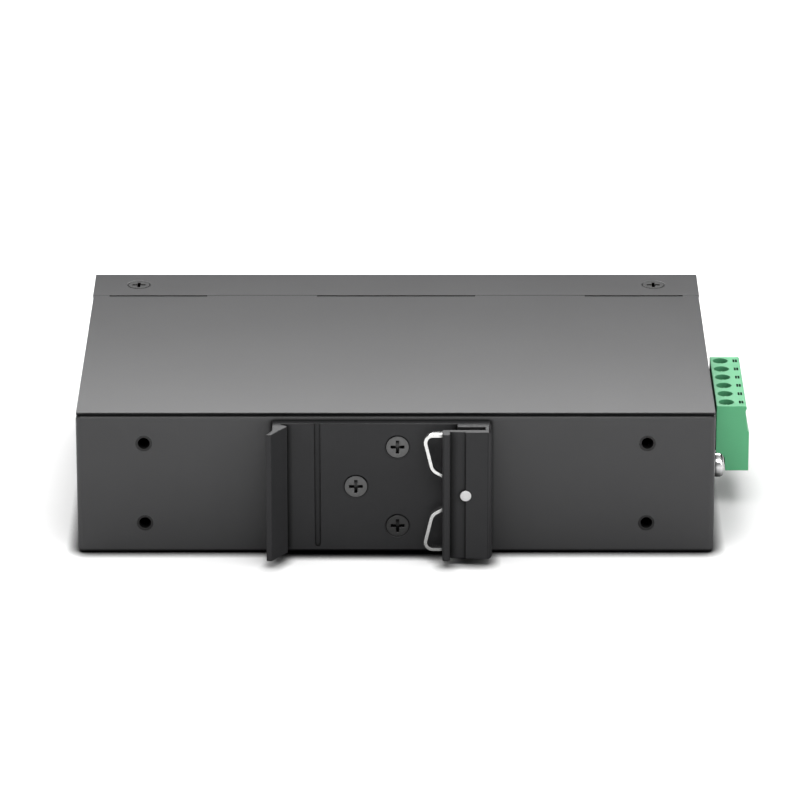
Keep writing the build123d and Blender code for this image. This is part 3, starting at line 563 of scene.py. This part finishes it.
class Palette:
    """Every finish on the converter, made once."""

    def __init__(self) -> None:
        """Build the materials."""
        self.paint = PowderCoat("case_powder_coat", (0.0435, 0.0435, 0.0445)).material()
        self.clip = Extrusion("clip_black_anodise", (0.023, 0.023, 0.024)).material()
        # The clip screws get painted shade below 12 mm height, so the lowest one is darker.
        self.clip_steel = PlainMetal(
            "clip_screw_steel", (0.16, 0.16, 0.16), 0.45, painted_shade_top=12 * MM).material()
        self.flange_steel = PlainMetal(
            "flange_screw_steel", (0.036, 0.036, 0.036), 0.42).material()
        self.nut_steel = PlainMetal("blackened_nut", (0.05, 0.05, 0.05), 0.5).material()
        self.spring = PlainMetal(
            "spring_steel", (0.86, 0.86, 0.85), 0.24, marks=Grain(1500.0, 4.0, 0.6),
            fine=Grain(7500.0, 2.0, 0.5), fine_depth=5e-7).material()
        self.rivet = PlainMetal("rivet_alloy", (0.8, 0.8, 0.8), 0.45).material()
        self.nickel = PlainMetal("nickel_plate", (0.74, 0.74, 0.74), 0.18).material()
        self.zinc = PlainMetal("zinc_plate", (0.62, 0.64, 0.66), 0.32).material()
        self.brass = PlainMetal("tinned_brass", (0.74, 0.63, 0.38), 0.28).material()
        self.shell = PlainMetal(
            "plated_shell", (0.68, 0.68, 0.67), 0.3, marks=Grain(1300.0, 4.0, 0.6),
            fine=Grain(6500.0, 2.0, 0.5), fine_depth=8e-7).material()
        self.can = PlainMetal("capacitor_can", (0.78, 0.78, 0.79), 0.3).material()
        self.green = Moulding(
            "terminal_green", (0.11, 0.415, 0.205), sheen_level=0.28, painted_shade_depth=2.7).material()
        self.black_plastic = Moulding("black_moulding", (0.022, 0.022, 0.023), 0.4).material()
        self.chip = Moulding("chip_epoxy", (0.02, 0.02, 0.021), 0.55).material()
        self.ferrite = Moulding(
            "ferrite", (0.06, 0.06, 0.062), 0.6, skin=Grain(2600.0, 2.0, 0.5),
            skin_depth=2e-5).material()
        self.relay = Moulding("relay_case", (0.78, 0.78, 0.75), 0.35).material()
        self.clear = Moulding(
            "clear_light_pipe", (0.93, 0.95, 0.94), 0.14, skin_depth=1e-6,
            transmission=0.85).material()
        self.led = Moulding("led_body", (0.9, 0.9, 0.72), 0.3).material()
        self.board = Laminate("solder_mask", (0.01, 0.09, 0.035)).material()


@dataclass
class Sculptor:
    """Dresses CAD nodes, as they stand or by a copy with rounded edges.

    Attributes:
        edge_angle: the least turn between two faces whose edge is rounded.
        flat_angle: the most that faces turn and are still joined into one.
        crease_angle: the least turn that stays sharp to the eye.
        least_run: the shortest edge that is rounded, in widths of the rounding.
        merge: how near two corners are the same corner, in metres.
        segments: the faces across a rounding.
        flat_weight: how much larger faces count in the shading.
    """

    edge_angle: float = math.radians(28)
    flat_angle: float = math.radians(0.4)
    crease_angle: float = math.radians(33)
    least_run: float = 3.0
    merge: float = 1e-6
    segments: int = 3
    flat_weight: int = 100

    def dress(self, node: str, material: bpy.types.Material) -> None:
        """Give a CAD node its finish as it stands.

        Args:
            node: the CAD node's name.
            material: its finish.
        """
        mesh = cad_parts[node].data
        mesh.materials.clear()
        mesh.materials.append(material)
        log.info("%s: dressed", node)

    def soften(
        self, node: str, material: bpy.types.Material, body: Body, edge: float,
        shortest: float = 0.0,
    ) -> bpy.types.Object:
        """Stand a copy with its outward edges rounded in for a CAD node.

        Args:
            node: the CAD node's name.
            material: its finish.
            body: the body it rides on.
            edge: the width of the rounding, in metres.
            shortest: the shortest edge that is rounded; 0 takes a few times the rounding.

        Returns:
            The new piece.
        """
        shortest = shortest or self.least_run * edge
        shape = bmesh.new()
        shape.from_mesh(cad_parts[node].data)
        bmesh.ops.remove_doubles(shape, verts=shape.verts, dist=self.merge)
        bmesh.ops.dissolve_limit(
            shape, angle_limit=self.flat_angle, verts=shape.verts, edges=shape.edges)
        sharp = [
            line for line in shape.edges
            if line.is_convex and line.calc_face_angle() > self.edge_angle
            and line.calc_length() >= shortest
        ]
        bmesh.ops.bevel(
            shape, geom=sharp, offset=edge, offset_type="OFFSET", segments=self.segments,
            profile=0.5, affect="EDGES", material=-1, clamp_overlap=False, loop_slide=False)
        piece = self.publish(shape, node + "_finished", material, body)
        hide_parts(node)
        return piece

    def publish(
        self, shape: bmesh.types.BMesh, name: str, material: bpy.types.Material, body: Body
    ) -> bpy.types.Object:
        """Make a piece of a finished bmesh.

        Args:
            shape: the mesh, which is freed.
            name: the piece's name.
            material: its finish.
            body: the body it rides on.

        Returns:
            The piece.
        """
        mesh = bpy.data.meshes.new(name)
        shape.to_mesh(mesh)
        shape.free()
        mesh.shade_smooth()
        mesh.set_sharp_from_angle(angle=self.crease_angle)
        mesh.materials.append(material)
        piece = bpy.data.objects.new(name, mesh)
        bpy.context.scene.collection.objects.link(piece)
        flats = piece.modifiers.new("flats", "WEIGHTED_NORMAL")
        flats.mode = "FACE_AREA"
        flats.weight = self.flat_weight
        flats.keep_sharp = True
        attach(piece, body.value)
        log.info("%s: %d faces", name, len(mesh.polygons))
        return piece


@dataclass
class SteelCase:
    """The folded chassis, its lid, the port panel and their screws."""

    tools: Sculptor
    finishes: Palette
    sheet_edge: float = 0.12 * MM
    least_fold: float = 2.0 * MM
    least_side: float = 12.0 * MM
    screw_edge: float = 0.06 * MM

    def build(self) -> None:
        """Dress the case."""
        sheets = {"chassis": self.least_fold, "lid": self.least_side, "front_panel": 0.0}
        for node, shortest in sheets.items():
            self.tools.soften(node, self.finishes.paint, Body.CASE, self.sheet_edge, shortest)
        self.tools.soften("flange_screws", self.finishes.flange_steel, Body.CASE, self.screw_edge)
        self.tools.soften("clinch_nuts", self.finishes.nut_steel, Body.CASE, self.screw_edge)


@dataclass
class RailClip:
    """The extruded clip with its screws, strip spring and rivet."""

    tools: Sculptor
    finishes: Palette
    clip_edge: float = 0.15 * MM
    small_edge: float = 0.06 * MM
    rivet_edge: float = 0.03 * MM

    def build(self) -> None:
        """Dress the clip."""
        self.tools.soften("rail_clip", self.finishes.clip, Body.CASE, self.clip_edge)
        self.tools.soften("clip_screws", self.finishes.clip_steel, Body.CASE, self.small_edge)
        self.tools.soften("clip_spring", self.finishes.spring, Body.CASE, self.small_edge)
        self.tools.soften("clip_rivet", self.finishes.rivet, Body.CASE, self.rivet_edge)


@dataclass
class Terminal:
    """The six-way header and its pull-off plug, with the ground screw beside them."""

    tools: Sculptor
    finishes: Palette
    plastic_edge: float = 0.1 * MM
    least_wall: float = 4.0 * MM
    screw_edge: float = 0.06 * MM

    def build(self) -> None:
        """Dress the terminal and the ground screw."""
        self.tools.soften(
            "terminal_plug", self.finishes.green, Body.PLUG, self.plastic_edge, self.least_wall)
        self.tools.soften("terminal_header", self.finishes.green, Body.CASE, self.plastic_edge)
        for node in ("plug_screws", "plug_clamps"):
            self.tools.soften(node, self.finishes.zinc, Body.PLUG, self.screw_edge)
        self.tools.dress("plug_contacts", self.finishes.brass)
        self.tools.dress("header_pins", self.finishes.brass)
        self.tools.soften("ground_screw", self.finishes.nickel, Body.CASE, self.screw_edge)
        self.tools.soften("ground_washer", self.finishes.nickel, Body.CASE, self.screw_edge)


@dataclass
class Ports:
    """The copper port, the fibre cage and the status lights on the far side."""

    tools: Sculptor
    finishes: Palette
    shell_edge: float = 0.05 * MM
    plastic_edge: float = 0.1 * MM

    def build(self) -> None:
        """Dress the ports and lights."""
        self.tools.soften("jack_shield", self.finishes.shell, Body.CASE, self.shell_edge)
        self.tools.soften(
            "jack_insert", self.finishes.black_plastic, Body.CASE, self.plastic_edge)
        self.tools.dress("jack_contacts", self.finishes.brass)
        self.tools.soften("sfp_cage", self.finishes.shell, Body.CASE, self.shell_edge)
        self.tools.dress("sfp_connector", self.finishes.black_plastic)
        self.tools.soften("light_pipe", self.finishes.clear, Body.CASE, self.plastic_edge)
        self.tools.dress("status_leds", self.finishes.led)


@dataclass
class Board:
    """The circuit board, its fastenings and its larger parts."""

    tools: Sculptor
    finishes: Palette

    def build(self) -> None:
        """Dress the board."""
        plain = {
            "circuit_board": self.finishes.board, "board_standoffs": self.finishes.zinc,
            "board_screws": self.finishes.zinc, "main_chip": self.finishes.chip,
            "network_transformer": self.finishes.chip, "power_inductor": self.finishes.ferrite,
            "capacitors": self.finishes.can, "alarm_relay": self.finishes.relay,
            "crystal": self.finishes.zinc,
        }
        for node, material in plain.items():
            self.tools.dress(node, material)


@dataclass(frozen=True)
class ReferenceCamera:
    """The photograph's camera, fitted to the case's edges.

    The eye and the sensor are in millimetres, the focal length in the photograph's pixels, the
    turns in radians, and the clipping distances in metres.
    """

    focal_pixels: float = 5644.18
    frame_pixels: float = 800.0
    sensor_width: float = 36.0
    eye: tuple[float, float, float] = (1.811, -1153.234, 457.92)
    yaw: float = -0.0008
    pitch: float = 0.3643
    roll: float = -0.0004
    nearest: float = 0.05
    farthest: float = 50.0

    def build(self) -> None:
        """Make the scene's camera."""
        across = math.cos(self.pitch)
        ahead = Vector((
            math.sin(self.yaw) * across, math.cos(self.yaw) * across, -math.sin(self.pitch)))
        level = Vector((math.cos(self.yaw), -math.sin(self.yaw), 0.0))
        rise = level.cross(ahead)
        right = level * math.cos(self.roll) + rise * math.sin(self.roll)
        up = rise * math.cos(self.roll) - level * math.sin(self.roll)
        turn = Matrix((right, up, -ahead)).transposed().to_4x4()
        data = bpy.data.cameras.new("photo_camera")
        data.sensor_width = self.sensor_width
        data.lens = self.focal_pixels / self.frame_pixels * self.sensor_width
        data.clip_start = self.nearest
        data.clip_end = self.farthest
        camera = bpy.data.objects.new("photo_camera", data)
        camera.matrix_world = Matrix.Translation(Vector(self.eye) * MM) @ turn
        bpy.context.scene.collection.objects.link(camera)
        bpy.context.scene.camera = camera


@dataclass(frozen=True)
class SoftBox:
    """One soft rectangular lamp; lengths in metres, power in watts."""

    name: str
    place: tuple[float, float, float]
    target: tuple[float, float, float]
    width: float
    height: float
    power: float

    def build(self) -> None:
        """Hang the lamp; the camera doesn't see it."""
        data = bpy.data.lights.new(self.name, "AREA")
        data.shape = "RECTANGLE"
        data.size = self.width
        data.size_y = self.height
        data.energy = self.power
        lamp = bpy.data.objects.new(self.name, data)
        aim = Vector(self.target) - Vector(self.place)
        turn = aim.to_track_quat("-Z", "Y").to_matrix().to_4x4()
        lamp.matrix_world = Matrix.Translation(Vector(self.place)) @ turn
        lamp.visible_camera = False
        bpy.context.scene.collection.objects.link(lamp)


@dataclass(frozen=True)
class Studio:
    """A pale floor, soft lamps, and a world that the camera sees as plain white.

    Attributes:
        floor_half: half the floor's side, in metres.
        floor_drop: how far the floor lies under the object, in metres.
        floor_colour: how much light the floor throws back at the object.
        floor_seen: how pale the floor looks to the camera.
        painted_contact_shadow_reach: how far a painted shadow darkens the floor near the object,
            as the camera sees it.
        painted_contact_shadow_power: how strongly it does.
        painted_bounce_shadow_reach: how far a painted shadow darkens the floor that throws light
            back at the object.
        painted_bounce_shadow_power: how strongly it does.
        sweep: the world's light near the horizon.
        ceiling: the world's light from above.
        sweep_end: the sine of the angle up to which the world is all sweep.
        ceiling_start: the sine of the angle from which it is all ceiling.
        far_side: how much of the world's light is left on the far side.
        far_side_start: where the light starts to fade, as the share of a direction along +Y.
        far_side_full: where it has faded, in the same measure.
        lamps: the lamps.
    """

    floor_half: float = 6.0
    floor_drop: float = 0.02 * MM
    floor_colour: float = 0.75
    floor_seen: float = 0.88
    painted_contact_shadow_reach: float = 3 * MM
    painted_contact_shadow_power: float = 3.0
    painted_bounce_shadow_reach: float = 60 * MM
    painted_bounce_shadow_power: float = 3.0
    sweep: float = 1.0
    ceiling: float = 0.35
    sweep_end: float = math.sin(math.radians(8))
    ceiling_start: float = math.sin(math.radians(17))
    far_side: float = 0.14
    far_side_start: float = 0.0
    far_side_full: float = 0.4
    lamps: tuple[SoftBox, ...] = (
        SoftBox("overhead", (0.0, 0.0, 1.0), (0.0, 0.0, 0.0), 1.4, 1.2, 1.8),
        SoftBox("back_panel", (0.0, 0.26, 0.262), (0.0, -0.03, 0.03), 0.32, 0.16, 1.42),
        SoftBox("front_high", (0.0, -0.6, 1.0), (0.0, 0.0, 0.02), 0.9, 0.5, 10.0),
        SoftBox("right_fill", (0.9, -0.5, 0.6), (0.0, 0.0, 0.02), 0.6, 0.6, 4.5),
        SoftBox("left_fill", (-0.9, -0.5, 0.6), (0.0, 0.0, 0.02), 0.6, 0.6, 3.0),
    )

    def build(self) -> None:
        """Make the floor, the world and the lamps."""
        self._floor()
        self._world()
        for lamp in self.lamps:
            lamp.build()

    def _floor(self) -> None:
        """A wide pale floor that keeps the shadow, with a painted shadow near the object, and
        looks white to the camera.
        """
        shader = Shader.named("pale_floor")
        looked_at = shader.node("ShaderNodeLightPath", {}, {}, "Is Camera Ray")
        # Painted shadow: the floor's colour darkens near the object, by how closed in each point
        # is, as the camera sees it and as it throws light back.
        seen_with_painted_shadow = shader.openness(self.painted_contact_shadow_reach) ** self.painted_contact_shadow_power * self.floor_seen
        bounce_with_painted_shadow = shader.openness(self.painted_bounce_shadow_reach) ** self.painted_bounce_shadow_power * self.floor_colour
        tone = looked_at * seen_with_painted_shadow + (1.0 - looked_at) * bounce_with_painted_shadow
        shader.close(shader.node("ShaderNodeBsdfDiffuse", {}, {"Color": tone}, "BSDF"))
        shape = bmesh.new()
        bmesh.ops.create_grid(shape, x_segments=1, y_segments=1, size=self.floor_half)
        bmesh.ops.translate(shape, verts=shape.verts, vec=(0.0, 0.0, -self.floor_drop))
        mesh = bpy.data.meshes.new("floor")
        shape.to_mesh(mesh)
        shape.free()
        mesh.materials.append(shader.owner)
        floor = bpy.data.objects.new("floor", mesh)
        bpy.context.scene.collection.objects.link(floor)

    def _world(self) -> None:
        """White for the camera; a white sweep with a dimmer ceiling for every other ray."""
        world = bpy.data.worlds.new("studio")
        shader = Shader(world)
        ray = shader.node("ShaderNodeTexCoord", {}, {}, "Generated")
        rise = shader.along(ray, "Z")
        away = shader.along(ray, "Y")
        height = (self.sweep_end, self.ceiling_start, self.sweep, self.ceiling)
        depth = (self.far_side_start, self.far_side_full, 1.0, self.far_side)
        studio = shader.ease(rise, height) * shader.ease(away, depth)
        looked_at = shader.node("ShaderNodeLightPath", {}, {}, "Is Camera Ray")
        strength = looked_at + (1.0 - looked_at) * studio
        white = {"Color": (1.0, 1.0, 1.0, 1.0), "Strength": strength}
        shader.close(shader.node("ShaderNodeBackground", {}, white), "ShaderNodeOutputWorld")
        bpy.context.scene.world = world


def main() -> None:
    """Build the converter and its studio."""
    logging.basicConfig(level=logging.INFO, format="%(name)s %(message)s")
    bpy.context.scene.view_settings.view_transform = "Standard"
    tools = Sculptor()
    finishes = Palette()
    for part in (SteelCase, RailClip, Terminal, Ports, Board):
        part(tools, finishes).build()
        log.info("%s: built", part.__name__)
    ReferenceCamera().build()
    Studio().build()


if __name__ == "__main__":
    main()
